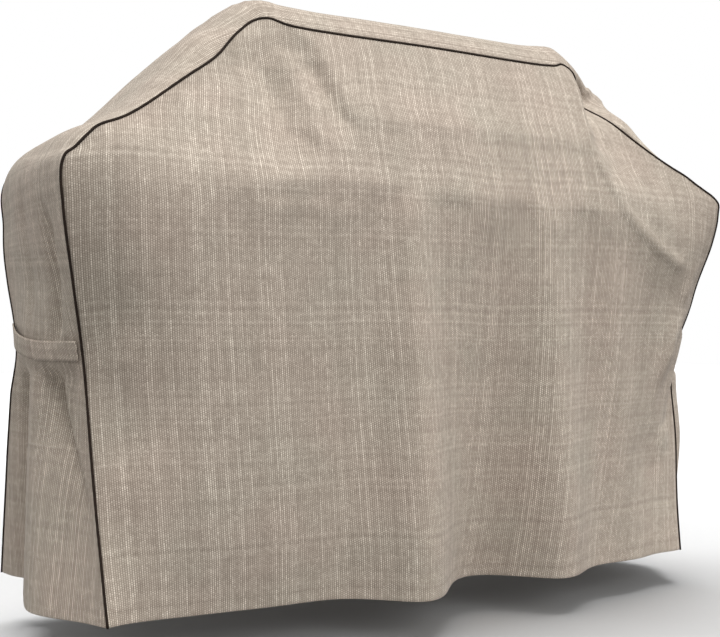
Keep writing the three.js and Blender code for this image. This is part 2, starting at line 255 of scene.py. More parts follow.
WAIST_FOLD = [
    (0.746, 0.520, -0.182), (0.742, 0.470, -0.178), (0.722, 0.416, -0.173), (0.691, 0.360, -0.176),
    (0.655, 0.304, -0.187), (0.615, 0.255, -0.192),
]
BEHIND_WAIST_FOLD = [(0.748, 0.430, -0.146), (0.728, 0.375, -0.146), (0.700, 0.312, -0.158)]
CREASES = [
    SHELF_EDGE, HOOD_LEFT_EDGE, HOLLOW, BESIDE_LID, LID_LEFT_EDGE, LID_LOWER_EDGE, UNDER_LID, LID_RIGHT_EDGE,
    TIGHT_FOLD, UNDER_FOLD, WAIST_FOLD, BEHIND_WAIST_FOLD,
]
BETWEEN_CREASES = [
    # the cloth between the hood and the left slope
    (-0.439, 1.057, -0.141), (-0.458, 0.988, -0.182), (-0.475, 0.923, -0.218), (-0.540, 1.000, -0.174),
    (-0.551, 0.957, -0.199), (-0.565, 0.894, -0.232), (-0.657, 0.925, -0.214), (-0.666, 0.885, -0.238),
    # the lid's face, and the shelf under it
    (-0.100, 1.120, -0.155), (-0.100, 1.050, -0.192), (0.100, 1.120, -0.155), (0.100, 1.050, -0.192),
    (0.280, 1.120, -0.155), (0.280, 1.050, -0.192), (-0.250, 0.900, -0.250), (-0.100, 0.900, -0.249),
    (0.100, 0.900, -0.249), (0.280, 0.900, -0.249), (0.380, 0.900, -0.249),
    # the cloth that falls away beside the lid, and the slack below the right shoulder
    (0.460, 1.060, -0.150), (0.470, 1.000, -0.178), (0.495, 0.957, -0.196), (0.546, 0.957, -0.194),
    (0.608, 0.912, -0.214), (0.693, 0.867, -0.232), (0.545, 0.869, -0.240), (0.607, 0.825, -0.246),
    (0.677, 0.793, -0.244), (0.754, 0.821, -0.238), (0.745, 0.755, -0.238),
    # the waist, tucked in at both seams
    (-0.700, 0.480, -0.186), (-0.620, 0.480, -0.222), (-0.700, 0.250, -0.180), (-0.620, 0.250, -0.204),
    (-0.740, 0.640, -0.205), (-0.680, 0.640, -0.233), (-0.770, 0.760, -0.232), (-0.700, 0.760, -0.248),
    (0.700, 0.560, -0.212), (0.640, 0.500, -0.218), (0.620, 0.400, -0.210), (0.700, 0.200, -0.176),
]
FRONT_HEM = [
    (-0.700, -0.186), (-0.600, -0.184), (-0.500, -0.188), (-0.300, -0.190), (-0.100, -0.190),
    (0.100, -0.190), (0.300, -0.190), (0.500, -0.192), (0.650, -0.198), (0.700, -0.199),
]


def thin_plate(controls, x, z):
    """The smooth surface through (x, z, depth) points, as a bent thin plate takes."""
    controls = np.array(controls)
    sites = controls[:, :2]

    def kernel(a, b):
        square = ((a[:, None, :] - b[None, :, :]) ** 2).sum(axis=-1)
        return 0.5 * square * np.log(np.maximum(square, 1e-12))

    count = len(sites)
    plane = np.concatenate([np.ones((count, 1)), sites], axis=1)
    system = np.zeros((count + 3, count + 3))
    system[:count, :count] = kernel(sites, sites) + 1e-6 * np.eye(count)
    system[:count, count:] = plane
    system[count:, :count] = plane.T
    weights = np.linalg.solve(system, np.concatenate([controls[:, 2], np.zeros(3)]))
    wanted = np.stack([x.ravel(), z.ravel()], axis=1)
    bent = kernel(wanted, sites) @ weights[:count]
    flat = weights[count] + wanted @ weights[count + 1 :]
    return (bent + flat).reshape(x.shape)


def seam_controls(seam):
    """Points on the seam for the thin plate, from the hem to the top on both sides and across."""
    side = np.arange(0, CORNER_STATION, 0.34)
    top = np.linspace(CORNER_STATION, STATIONS - CORNER_STATION, 17)
    points = along_seam(seam, np.concatenate([side, top, STATIONS - side]))
    return [(p[0], p[2], p[1]) for p in points]


def facets(controls, creases, x, z):
    """Flat facets between (x, z, depth) points, with the creases as edges."""
    points = list(dict.fromkeys([*controls, *(p for crease in creases for p in crease)]))
    edges = [(points.index(p), points.index(q)) for crease in creases for p, q in zip(crease, crease[1:])]
    found = delaunay_2d_cdt([Vector(p[:2]) for p in points], edges, [], 0, 1e-6)
    depth = np.array([points[origins[0]][2] if origins else np.nan for origins in found[3]])
    y = np.full(x.shape, np.nan)
    for triangle in found[2]:
        a, b, c = (np.array(found[0][k]) for k in triangle)
        area = (b[0] - a[0]) * (c[1] - a[1]) - (c[0] - a[0]) * (b[1] - a[1])
        if abs(area) < 1e-9:
            continue
        low, high = np.min([a, b, c], axis=0), np.max([a, b, c], axis=0)
        near = (x >= low[0]) & (x <= high[0]) & (z >= low[1]) & (z <= high[1])
        px, pz = x[near], z[near]
        to_b = ((px - a[0]) * (c[1] - a[1]) - (c[0] - a[0]) * (pz - a[1])) / area
        to_c = ((b[0] - a[0]) * (pz - a[1]) - (px - a[0]) * (b[1] - a[1])) / area
        value = depth[triangle[0]] * (1 - to_b - to_c) + depth[triangle[1]] * to_b + depth[triangle[2]] * to_c
        inside = (to_b > -1e-6) & (to_c > -1e-6) & (to_b + to_c < 1 + 1e-6)
        y[near] = np.where(inside, value, y[near])
    return y


def soften(values, passes):
    """Rounds the creases of a grid a little."""
    for _ in range(passes):
        padded = np.pad(values, 1, mode="edge")
        cross = padded[:-2, 1:-1] + padded[2:, 1:-1] + padded[1:-1, :-2] + padded[1:-1, 2:]
        values = 0.5 * values + 0.125 * cross
    return values


def near_line(x, z, line, reach):
    """1 on a polyline, falling to 0 at the given distance from it."""
    best = np.full(x.shape, 9.0)
    for (ax, az, _), (bx, bz, _) in zip(line, line[1:]):
        run = np.array([bx - ax, bz - az])
        t = np.clip(((x - ax) * run[0] + (z - az) * run[1]) / (run @ run), 0, 1)
        best = np.minimum(best, np.hypot(x - ax - t * run[0], z - az - t * run[1]))
    return ramp(reach, 0.4 * reach, best)


def front_folds(x, z):
    """The skirt's folds. Each one is narrow at the shelf's edge and widens towards the hem."""
    fall = np.clip((SHELF_HEIGHT - z) / SHELF_HEIGHT, 0, 1)
    wide = mix(0.42, 1, fall)
    first_place, second_place = mix(-0.114, -0.108, fall), mix(0.250, 0.268, fall)
    first = -0.132 * hump(x, first_place, np.where(x < first_place, 0.098, 0.122) * wide)
    second = -0.112 * hump(x, second_place, np.where(x < second_place, 0.088, 0.130) * wide)
    valley = 0.026 * hump(x, 0.095, 0.095 * wide)
    third = -0.034 * hump(x, mix(0.440, 0.520, fall), 0.105 * wide)
    left = -0.014 * hump(x, -0.35, 0.18 * wide)
    growth = fall * (1 + 0.55 * np.exp(-fall / 0.16))
    ripples = 0.0035 * np.cos((x + 0.094) / 0.18 * 2 * np.pi) * hump(x, 0.12, 0.34)
    return growth * (first + second + third + left + valley) - ripples * hump(z, 0.782, 0.040)


def small_wrinkles(x, z, amount):
    """The slight unevenness of cloth that was folded in its box."""
    a = np.sin(31.0 * x + 9.0 * z + 0.7) * np.sin(17.0 * z - 6.0 * x + 1.1)
    b = np.sin(58.0 * x - 23.0 * z + 2.1) * np.sin(41.0 * z + 12.0 * x)
    return amount * (0.65 * a + 0.35 * b)


def panel_edges(seam):
    """A panel's left side, right side and top along its seam."""
    stations = even_stations(seam, 0, CORNER_STATION, STEP)
    top = along_seam(seam, np.linspace(CORNER_STATION, STATIONS - CORNER_STATION, 800))
    return along_seam(seam, stations), along_seam(seam, STATIONS - stations), top


def panel_grid(seam):
    """Across and height of a panel's mesh: rows from the hem up, columns from left to right."""
    left, right, top = panel_edges(seam)
    share = np.linspace(0, 1, PANEL_COLUMNS + 1)
    x = mix(left[:, None, 0], right[:, None, 0], share)
    z = np.broadcast_to(left[:, None, 2], x.shape).copy()
    seam_z = np.interp(x, top[:, 0], top[:, 2])
    z += (seam_z - left[-1, 2]) * ramp(1.050, left[-1, 2], z) ** 2
    edge = np.minimum(x - left[:, None, 0], right[:, None, 0] - x)
    return x, z, edge


def fit_to_seam(seam, x, z, y):
    """Moves the outermost rows and columns exactly on to the seam."""
    left, right, top = panel_edges(seam)
    top_error = np.interp(x[-1], top[:, 0], top[:, 1]) - y[-1]
    y = y + top_error * ramp(1.10, 1.163, z) ** 2
    near_left = 1 - ramp(0, 0.05, x - x[:, :1])
    near_right = 1 - ramp(0, 0.05, x[:, -1:] - x)
    return y + (left[:, 1] - y[:, 0])[:, None] * near_left + (right[:, 1] - y[:, -1])[:, None] * near_right


def front_surface():
    x, z, edge = panel_grid(FRONT_SEAM)
    controls = BETWEEN_CREASES + [(a, 0.0, depth) for a, depth in FRONT_HEM] + seam_controls(FRONT_SEAM)
    for height in (0.12, 0.25, 0.40, 0.55, 0.68, 0.76):
        depth = mix(-0.190, -0.266, (height / SHELF_HEIGHT) ** 0.65)
        controls += [(a, height, depth) for a in (-0.5, -0.36, -0.22, -0.08, 0.06, 0.2, 0.34)]
    controls += [(0.47, high, mix(-0.192, -0.262, high / SHELF_HEIGHT)) for high in (0.12, 0.3, 0.5, 0.64)]
    on_creases = sorted({p for crease in CREASES for p in crease})
    smooth = thin_plate(controls + on_creases, x, z)
    sharp = facets(controls, CREASES, x, z)
    sharp = soften(np.where(np.isnan(sharp), smooth, sharp), 2)
    crisp = ramp(-0.50, -0.42, x) * ramp(0.58, 0.50, x) * ramp(0.770, 0.800, z)
    for line, reach in ((TIGHT_FOLD, 0.090), (WAIST_FOLD, 0.080)):
        crisp = np.maximum(crisp, near_line(x, z, line, reach))
    y = mix(smooth, sharp, crisp)
    y += ramp(0, 0.16, edge) * front_folds(x, z)
    y -= 0.0035 * near_line(x, z, TIGHT_FOLD[1:-1], 0.020)
    y += ramp(0, 0.05, edge) * small_wrinkles(x, z, 0.0005)
    return np.stack([x, fit_to_seam(FRONT_SEAM, x, z, y), z], axis=-1)


def back_surface():
    """The back hangs straighter, over the back of the hood and the cart."""
    x, z, edge = panel_grid(BACK_SEAM)
    hood = -0.42 * 0.025 * np.logaddexp(0, (z - 0.930) / 0.025)
    folds = 0.026 * np.cos(x / 0.092 + 0.25 * np.sin(2 * z)) * ramp(0.78, 0, z) * hump(x, 0, 0.62)
    drape = 0.276 + hood + folds + 0.012 * ramp(0.5, 0, z)
    width = mix(0.15, 0.26, ramp(0.64, 0.83, z))
    left = panel_edges(BACK_SEAM)[0]
    y = mix(left[:, None, 1], drape, np.sin(np.clip(edge / width, 0, 1) * np.pi / 2))
    y -= ramp(0, 0.05, edge) * small_wrinkles(x + 3, z, 0.0008)
    return np.stack([x, fit_to_seam(BACK_SEAM, x, z, y), z], axis=-1)


# -------- the gusset


def gusset_frame(station):
    """Front seam point, back seam point and the outward direction at each station."""
    seams = FRONT_SEAM, BACK_SEAM
    a, b = (along_seam(seam, station) for seam in seams)
    h = 0.02
    along = sum(unit(along_seam(seam, station + h) - along_seam(seam, station - h)) for seam in seams)
    outward = np.cross(along, b - a)
    outward[..., 2] *= ramp(3.5, 5.5, np.minimum(station, STATIONS - station))
    return a, b, unit(outward)


# How high the gusset stands over its seams: stations from the hem, and metres.
LEFT_CROWN = (
    [4, 5.5, 6.5, 7.1, 7.7, 8.1, 8.5, 8.9, 9.4, 9.97, 10.5, 10.93, 11.2, 11.65, 12],
    [0.014, 0.020, 0.022, 0.018, 0.015, 0.016, 0.020, 0.036, 0.053, 0.060, 0.052, 0.043, 0.043, 0.058, 0.067],
)
RIGHT_CROWN = (
    [4, 5.5, 6.5, 7.2, 7.7, 8.1, 8.5, 9.0, 9.2, 9.4, 9.6, 9.9, 10.3, 10.9, 11.5, 12],
    [0.014, 0.018, 0.008, 0.002, 0.009, 0.024, 0.044, 0.084,
     0.120, 0.121, 0.099, 0.083, 0.067, 0.048, 0.057, 0.067],
)


def gusset_bulge(across, z, station, up):
    """How far the gusset stands out of the straight line between the seams."""
    from_hem = np.minimum(station, STATIONS - station)
    is_left = station < STATIONS / 2
    crown = sum(np.where(is_left, np.interp(from_hem + d, *LEFT_CROWN), np.interp(from_hem + d, *RIGHT_CROWN))
                for d in (-0.2, 0, 0.2)) / 3
    steep = np.where(is_left, 0.75, mix(0.75, 0.45, hump(from_hem, 9.6, 1.2)))
    arch = np.clip(1 - np.abs(2 * across - 1) ** 3.2, 0, 1) ** steep
    over = np.minimum(crown * np.minimum(1, 1.03 * arch), (HEIGHT - z) / np.maximum(up, 0.2))
    round_side = mix(0.036, 0.014, ramp(WAIST_HEIGHT + 0.02, WAIST_HEIGHT + 0.17, z)) * np.sin(np.pi * across)
    crease = -0.015 * hump(across, 0.20, 0.045) * ramp(0.79, 0.72, z) * ramp(0.50, 0.56, z)
    crease -= 0.007 * hump(across, 0.50, 0.060) * ramp(0.84, 0.76, z) * ramp(0.52, 0.60, z)
    above = round_side + crease * is_left
    valley = mix(0.27, 0.05, ramp(WAIST_HEIGHT - 0.03, 0.15, z))
    tuck = -0.036 * hump(across, valley, np.where(across < valley, 0.024, 0.070)) * ramp(0.06, 0.42, z)
    up_share = np.clip(z / WAIST_HEIGHT, 0, 1)
    lobe = mix(0.068, 0.062, up_share) * hump(across, mix(0.40, 0.47, up_share), mix(0.27, 0.20, up_share))
    lobe -= mix(0.026, 0.040, up_share) * hump(across, 0.79, 0.075)
    fade = mix(1, 0.6, up_share) * np.sin(np.pi * across) ** mix(0.25, 0.5, up_share)
    below = (lobe + tuck * is_left) * fade
    side = mix(above, below, ramp(WAIST_HEIGHT + 0.004, WAIST_HEIGHT - 0.040, z))
    swell = 0.047 * hump(across, 0.11, 0.08) * ramp(0, 0.05, across)
    swell = swell * ramp(0.475, 0.425, z) * ramp(-0.05, 0.30, z)
    return mix(side + swell * ~is_left, over, ramp(4.6, 6.2, from_hem))


def gusset_points(station, across):
    """Points on the gusset's outside, one row for each station. across is one row, or one for each."""
    a, b, outward = (v[:, None] for v in gusset_frame(station))
    across = np.atleast_2d(across)
    chord = mix(a, b, across[..., None])
    bulge = gusset_bulge(across, chord[..., 2], station[:, None], outward[..., 2])
    return chord + outward * bulge[..., None]


def even_across(station):
    """The places across the gusset that lie a fixed length apart, one row for each station."""
    fine = np.linspace(0, 1, 241)
    length = lengths_along(gusset_points(station, fine), axis=1)
    share = np.linspace(0, 1, GUSSET_COLUMNS + 1)
    return np.array([np.interp(share * row[-1], row, fine) for row in length])


def gusset_surface():
    station = even_stations(FRONT_SEAM, 0, STATIONS, STEP)
    grid = gusset_points(station, even_across(station))
    length = lengths_along(grid, axis=1)
    edge = np.minimum(length, length[:, -1:] - length)
    uneven = small_wrinkles(lengths_along(grid), length + 2, 0.0005)
    return grid - gusset_frame(station)[2][:, None] * (ramp(0, 0.05, edge) * (uneven + 0.001))[..., None]


# -------- meshes


def grid_normals(grid):
    return unit(np.cross(np.gradient(grid, axis=1), np.gradient(grid, axis=0)))


def cloth_uv(grid, middle):
    """The weave's own coordinates in metres: across from the middle column, and up from the hem."""
    across = lengths_along(grid, axis=1)
    up = lengths_along(grid * np.array([0.0, 1.0, 1.0]))
    return np.stack([across - across[:, middle : middle + 1], up], axis=-1)


def in_scene(name, data):
    made = bpy.data.objects.new(name, data)
    bpy.context.scene.collection.objects.link(made)
    return made


def new_mesh(name, points, faces, uv, face_materials, materials, smooth):
    mesh = bpy.data.meshes.new(name)
    faces = np.asarray(faces, dtype=np.int32)
    count, sides = faces.shape
    mesh.vertices.add(len(points))
    mesh.vertices.foreach_set("co", np.asarray(points, np.float32).ravel())
    mesh.loops.add(count * sides)
    mesh.loops.foreach_set("vertex_index", faces.ravel())
    mesh.polygons.add(count)
    mesh.polygons.foreach_set("loop_start", np.arange(0, count * sides, sides, dtype=np.int32))
    mesh.polygons.foreach_set("material_index", np.asarray(face_materials, np.int32))
    layer = mesh.uv_layers.new(name="cloth")
    layer.data.foreach_set("uv", np.asarray(uv, np.float32)[faces.ravel()].ravel())
    mesh.update(calc_edges=True)
    mesh.polygons.foreach_set("use_smooth", np.asarray(smooth, bool))
    for material in materials:
        mesh.materials.append(material)
    mesh.validate()
    return in_scene(name, mesh)


def sheet_piece(name, grid, uv, thickness, outside, inside):
    """A closed sheet behind a grid whose columns run to the right as seen from outside."""
    rows, columns = grid.shape[:2]
    points = np.concatenate([grid.reshape(-1, 3), (grid - grid_normals(grid) * thickness).reshape(-1, 3)])
    uvs = np.concatenate([uv.reshape(-1, 2)] * 2)
    index = np.arange(rows * columns).reshape(rows, columns)
    back = index + rows * columns
    a, b, c, d = index[:-1, :-1], index[:-1, 1:], index[1:, 1:], index[1:, :-1]
    outer = np.stack([a, b, c, d], axis=-1).reshape(-1, 4)
    inner = np.stack([a, d, c, b], axis=-1).reshape(-1, 4) + rows * columns

    def rim(front_line, back_line):
        return np.stack([front_line[:-1], back_line[:-1], back_line[1:], front_line[1:]], axis=-1)

    rims = np.concatenate([
        rim(index[0], back[0]),
        rim(index[-1, ::-1], back[-1, ::-1]),
        rim(index[::-1, 0], back[::-1, 0]),
        rim(index[:, -1], back[:, -1]),
    ])
    faces = np.concatenate([outer, inner, rims])
    materials = [0] * len(outer) + [1] * len(inner) + [0] * len(rims)
    smooth = [True] * (len(outer) + len(inner)) + [False] * len(rims)
    return new_mesh(name, points, faces, uvs, materials, [outside, inside], smooth)


def folded_hem(grid, margin):
    """Adds the turned-up hem before the first row: down the inside, round the fold and on to the outside."""
    inward = -grid_normals(grid)
    columns = grid.shape[1]
    place = (margin + np.linspace(0, 1, columns) * (1 - 2 * margin)) * (columns - 1)
    low = np.clip(place.astype(int), 0, columns - 2)
    radius = HEM_FOLD / 2
    outer = grid.copy()
    outer[0, :, 2] += radius
    inner = (outer + inward * HEM_FOLD)[: round(HEM_DEPTH / STEP) + 1]
    inner = mix(inner[:, low], inner[:, low + 1], (place - low)[None, :, None])[::-1]
    turn = [
        mix(inner[-1], outer[0], share) - (0, 0, radius * np.sin(np.pi * (0.5 - abs(share - 0.5)) ** 0.7))
        for share in (0.15, 0.5, 0.85)
    ]
    return np.concatenate([inner, turn, outer])


STITCH_LENGTH, STITCH_PITCH, STITCH_WIDTH = 0.0030, 0.0046, 0.0008


def stitches(name, lines):
    """Rows of stitches. Each line is (path, outward normals)."""
    points, faces, uvs = [], [], []
    ring = np.array([[0, 1, 2], [0, 2, 3], [0, 3, 4], [0, 4, 1], [5, 2, 1], [5, 3, 2], [5, 4, 3], [5, 1, 4]])
    for path, normals in lines:
        run = lengths_along(path)
        place = np.arange(STITCH_PITCH, run[-1] - STITCH_PITCH, STITCH_PITCH)
        centre = points_at(place, run, path)
        out = unit(points_at(place, run, normals))
        along = unit(points_at(place + 0.001, run, path) - centre)
        side = unit(np.cross(along, out))
        for c, n, t, s in zip(centre, out, along, side):
            faces.append(ring + len(points) * 6)
            half = 0.5 * STITCH_LENGTH * t
            aside, above, below = s * STITCH_WIDTH / 2, n * STITCH_WIDTH * 0.6, n * STITCH_WIDTH / 2
            points.append([c - half, c + aside, c + above, c - aside, c - below, c + half])
            uvs.append([(0, 0), (0.2, 0.5), (0.4, 0.5), (0.6, 0.5), (0.8, 0.5), (1, 1)])
    points = np.array(points).reshape(-1, 3)
    uv = np.array(uvs).reshape(-1, 2) * 0.003
    faces = np.concatenate(faces)
    return new_mesh(name, points, faces, uv, [0] * len(faces), [THREAD], [False] * len(faces))


def tube_frames(path, hint):
    tangent = unit(np.gradient(path, axis=0))
    tangent[0], tangent[-1] = (0, 0, 1), (0, 0, -1)  # square ends at the hem
    side = unit(np.cross(tangent, hint))
    return side, unit(np.cross(side, tangent))


def tube_piece(name, path, hint, rings, material):
    """A tube along a path. rings holds the radius at each angle: one ring fills it, two make a wall."""
    side, other = tube_frames(path, hint)
    steps = len(path)
    length = lengths_along(path)
    all_points, all_uv, all_faces, ends = [], [], [], []
    for number, radius in enumerate(rings):
        sides = radius.shape[-1]
        angle = np.linspace(0, 2 * np.pi, sides, endpoint=False)
        offset = side[:, None] * np.cos(angle)[None, :, None] + other[:, None] * np.sin(angle)[None, :, None]
        points = path[:, None] + offset * np.broadcast_to(radius, (steps, sides))[..., None]
        uv = np.stack(np.broadcast_arrays(np.abs(angle - np.pi) * PIPING_RADIUS, length[:, None]), axis=-1)
        index = (number * steps * sides + np.arange(steps * sides)).reshape(steps, sides)
        nxt = np.roll(index, -1, axis=1)
        quads = np.stack([index[:-1], nxt[:-1], nxt[1:], index[1:]], axis=-1).reshape(-1, 4)
        all_faces.append(quads if number == 0 else quads[:, ::-1])
        all_points.append(points.reshape(-1, 3))
        all_uv.append(uv.reshape(-1, 2))
        ends.append((index, nxt))
    points, uv = np.concatenate(all_points), np.concatenate(all_uv)
    smooth = [True] * sum(len(faces) for faces in all_faces)
    if len(rings) == 2:
        (outer, outer_next), (inner, inner_next) = ends
        start = np.stack([outer_next[0], outer[0], inner[0], inner_next[0]], axis=-1)
        end = np.stack([outer[-1], outer_next[-1], inner_next[-1], inner[-1]], axis=-1)
    else:
        start, end = end_caps(index)
    faces = np.concatenate([*all_faces, start, end])
    smooth += [False] * (len(start) + len(end))
    return new_mesh(name, points, faces, uv, [0] * len(faces), [material], smooth)


def end_caps(index):
    """Quads from side to side of a tube's first and last rings, which close its ends."""
    sides = index.shape[1]
    across = np.array([(k, k + 1, sides - 1 - k, (sides - k) % sides) for k in range(sides // 2 - 1)])
    return index[0][across], index[-1][across[:, ::-1]]


# -------- materials


class Graph:
    """Short ways to write a material's nodes."""

    def __init__(self, name):
        self.material = bpy.data.materials.new(name)
        self.material.use_nodes = True
        self.tree = self.material.node_tree
        self.shader = self.tree.nodes["Principled BSDF"]

    def node(self, kind, values=(), **settings):
        made = self.tree.nodes.new(kind)
        for key, value in settings.items():
            setattr(made, key, value)
        for socket, value in zip(made.inputs, values):
            self.put(socket, value)
        return made

    def put(self, socket, value):
        if isinstance(value, bpy.types.NodeSocket):
            self.tree.links.new(value, socket)
        elif value is not None:
            socket.default_value = value

    def math(self, operation, *values):
        return self.node("ShaderNodeMath", values, operation=operation).outputs[0]

    def add(self, a, b):
        return self.math("ADD", a, b)

    def less(self, a, b):
        return self.math("SUBTRACT", a, b)

    def times(self, a, b):
        return self.math("MULTIPLY", a, b)

    def noise(self, vector, scale, detail=2.0, roughness=0.5, dimensions="3D"):
        made = self.node("ShaderNodeTexNoise", noise_dimensions=dimensions)
        self.put(made.inputs["W" if dimensions == "1D" else "Vector"], vector)
        for key, value in (("Scale", scale), ("Detail", detail), ("Roughness", roughness)):
            made.inputs[key].default_value = value
        return made.outputs["Fac"]

    def cloth_place(self):
        """The weave's own coordinates: both together, across and up."""
        uv = self.node("ShaderNodeUVMap", uv_map="cloth").outputs[0]
        parts = self.node("ShaderNodeSeparateXYZ", (uv,)).outputs
        return uv, parts[0], parts[1]

    def mix_colour(self, factor, a, b, blend="MIX"):
        made = self.node("ShaderNodeMix", data_type="RGBA", blend_type=blend)
        self.put(made.inputs[0], factor)
        self.put(made.inputs[6], a)
        self.put(made.inputs[7], b)
        return made.outputs[2]

    def scale(self, value, low, high, out_low, out_high):
        return self.node("ShaderNodeMapRange", (value, low, high, out_low, out_high)).outputs[0]

    def finish(self, colour, roughness, height, strength, distance):
        self.put(self.shader.inputs["Base Color"], colour)
        self.put(self.shader.inputs["Roughness"], roughness)
        bump = self.node("ShaderNodeBump")
        bump.inputs["Strength"].default_value = strength
        bump.inputs["Distance"].default_value = distance
        self.put(bump.inputs["Height"], height)
        self.put(self.shader.inputs["Normal"], bump.outputs[0])
        return self.material


THREAD_PITCH = 0.0043  # from one thread to the next


def woven_cloth(name, light, middle, dark):
    """A tweed-like plain weave: mixed light and dark threads, uneven along their length."""
    g = Graph(name)
    uv, across, up = g.cloth_place()
    sway = g.times(g.less(g.noise(uv, 9.0), 0.5), 0.0030)
    u = g.math("DIVIDE", g.add(across, sway), THREAD_PITCH)
    v = g.math("DIVIDE", g.add(up, sway), THREAD_PITCH)
    thread_u = g.math("FLOOR", u)
    v = g.add(v, g.times(g.math("FLOORED_MODULO", thread_u, 2.0), 0.5))
    thread_v = g.math("FLOOR", v)
    across_u = g.math("ABSOLUTE", g.less(g.math("FRACT", u), 0.5))
    across_v = g.math("ABSOLUTE", g.less(g.math("FRACT", v), 0.5))
    over = g.times(g.scale(across_u, 0.40, 0.20, 0, 1), g.scale(across_v, 0.46, 0.26, 0.3, 1))

    def thread_tone(number, along, seed, share, bright):
        """0 dark to 1 light for one set of threads, in slubs along each thread."""
        place = g.add(number, seed)
        kind = g.node("ShaderNodeTexWhiteNoise", (None, place), noise_dimensions="1D").outputs["Value"]
        apart = g.times(number, 7.31)
        place = g.node("ShaderNodeCombineXYZ", (g.times(along, 0.30), apart, seed)).outputs[0]
        slub = g.scale(g.noise(place, 1.0, 1.0), 0.30, 0.70, 0.0, 1.0)
        light_one = g.math("GREATER_THAN", kind, 1.0 - share)
        tone = g.add(0.32, g.times(g.add(kind, slub), 0.10))
        return g.add(tone, g.times(light_one, g.times(slub, bright)))

    warp = thread_tone(thread_u, v, 3.7, 0.20, 0.165)
    weft = thread_tone(thread_v, u, 51.3, 0.05, 0.13)
    crossing = g.node("ShaderNodeCombineXYZ", (thread_u, thread_v)).outputs[0]
    cell = g.node("ShaderNodeTexWhiteNoise", (crossing,), noise_dimensions="2D").outputs["Value"]
    groups = g.scale(g.noise(uv, 38.0), 0.35, 0.65, 0.11, 0.23)
    float_up = g.add(warp, g.times(groups, g.add(cell, 0.35)))
    tone = g.node("ShaderNodeMix", (over, None, g.less(weft, 0.09), float_up), data_type="FLOAT").outputs[0]
    lines = g.add(g.noise(across, 110.0, 1.0, 0.5, "1D"), g.noise(up, 90.0, 1.0, 0.5, "1D"))
    bands = g.add(g.noise(across, 14.0, 2.0, 0.6, "1D"), g.noise(up, 11.0, 2.0, 0.6, "1D"))
    uneven = g.add(g.times(lines, 0.11), g.times(bands, 0.07))
    tone = g.add(tone, g.less(uneven, 0.18))

    # Painted shade: the colour is darkened in the grooves and holes between the threads and lightened a
    # little on their crowns.
    groove = g.add(g.times(across_u, across_u), g.times(across_v, across_v))
    height = g.less(1.0, g.times(groove, 2.0))
    hole = g.times(g.scale(across_u, 0.24, 0.38, 0, 1), g.scale(across_v, 0.26, 0.42, 0, 1))
    hole = g.times(hole, g.scale(cell, 0, 1, 0.35, 1.0))
    shade = g.times(g.scale(height, 0.15, 0.95, 0.93, 1.03), g.scale(hole, 0, 1, 1.0, 0.62))
    tones = g.node("ShaderNodeValToRGB", (g.scale(tone, 0, 1, 0, 1),))
    steps = tones.color_ramp.elements
    steps[0].color, steps[1].color = (*dark, 1), (*light, 1)
    steps.new(0.42).color = (*middle, 1)
    hue = g.scale(g.noise(uv, 5.5), 0.35, 0.65, 0.0, 1.0)
    drift = g.mix_colour(hue, (1.015, 0.995, 0.99, 1), (0.99, 1.005, 0.995, 1))
    colour = g.mix_colour(1.0, tones.outputs[0], drift, "MULTIPLY")
    painted_thread_shade = g.node("ShaderNodeCombineXYZ", (shade, shade, shade)).outputs[0]
    colour = g.mix_colour(1.0, colour, painted_thread_shade, "MULTIPLY")
    rough = g.scale(cell, 0, 1, 0.82, 0.97)
    for key, value in (("Sheen Weight", 0.06), ("Sheen Roughness", 0.5), ("Specular IOR Level", 0.25)):
        g.shader.inputs[key].default_value = value
    return g.finish(colour, rough, height, 0.6, 0.0006)


def coated_backing():
    """The waterproof coating on the cloth's inside, with the weave showing faintly through it."""
    g = Graph("coated_backing")
    uv, across, up = g.cloth_place()
    waves = [g.math("SINE", g.times(p, 2 * np.pi / 0.0047)) for p in (across, up)]
    height = g.times(waves[0], waves[1])
    patches = g.noise(uv, 14.0, 3.0)
    colour = g.mix_colour(patches, (0.30, 0.275, 0.245, 1), (0.38, 0.35, 0.315, 1))
    rough = g.scale(g.noise(uv, 40.0), 0.3, 0.7, 0.42, 0.62)
    return g.finish(colour, rough, height, 0.25, 0.0003)


def twill_tape(name, dark, light):
    """Narrow woven tape with slanting ribs."""
    g = Graph(name)
    uv, across, up = g.cloth_place()
    rib = g.math("SINE", g.times(g.add(up, across), 2 * np.pi / 0.0014))
    wear = g.scale(g.noise(uv, 60.0, 3.0), 0.35, 0.75, 0.0, 0.6)
    ribbed = g.scale(rib, -1, 1, 0.0, 0.5)
    colour = g.mix_colour(g.add(wear, ribbed), (*dark, 1), (*light, 1))
    rough = g.scale(rib, -1, 1, 0.80, 0.66)
    g.shader.inputs["Specular IOR Level"].default_value = 0.15
    return g.finish(colour, rough, rib, 0.5, 0.0003)


def nylon_pile(name, dark, light, size, height):
    """Hook or loop tape: a dense field of small hooks or fuzzy loops."""
    g = Graph(name)
    uv = g.cloth_place()[0]
    cells = g.node("ShaderNodeTexVoronoi", (uv,), feature="F1")
    cells.inputs["Scale"].default_value = 1 / size
    near = g.scale(cells.outputs["Distance"], 0, 0.7, 1.0, 0.0)
    colour = g.mix_colour(near, (*dark, 1), (*light, 1))
    rough = g.scale(g.noise(uv, 200.0), 0.3, 0.7, 0.6, 0.85)
    return g.finish(colour, rough, near, 0.8, height)


def twisted_yarn(name, dark, light):
    """Cord or thread with its strands lying aslant."""
    g = Graph(name)
    uv, across, up = g.cloth_place()
    slant = g.add(g.times(across, 2.0), up)
    turn = g.math("SINE", g.times(slant, 2 * np.pi / 0.003))
    fibre = g.noise(uv, 900.0)
    tone = g.add(g.scale(turn, -1, 1, 0, 0.7), g.times(fibre, 0.3))
    colour = g.mix_colour(tone, (*dark, 1), (*light, 1))
    rough = g.scale(fibre, 0.3, 0.7, 0.8, 0.95)
    return g.finish(colour, rough, turn, 0.4, 0.0002)


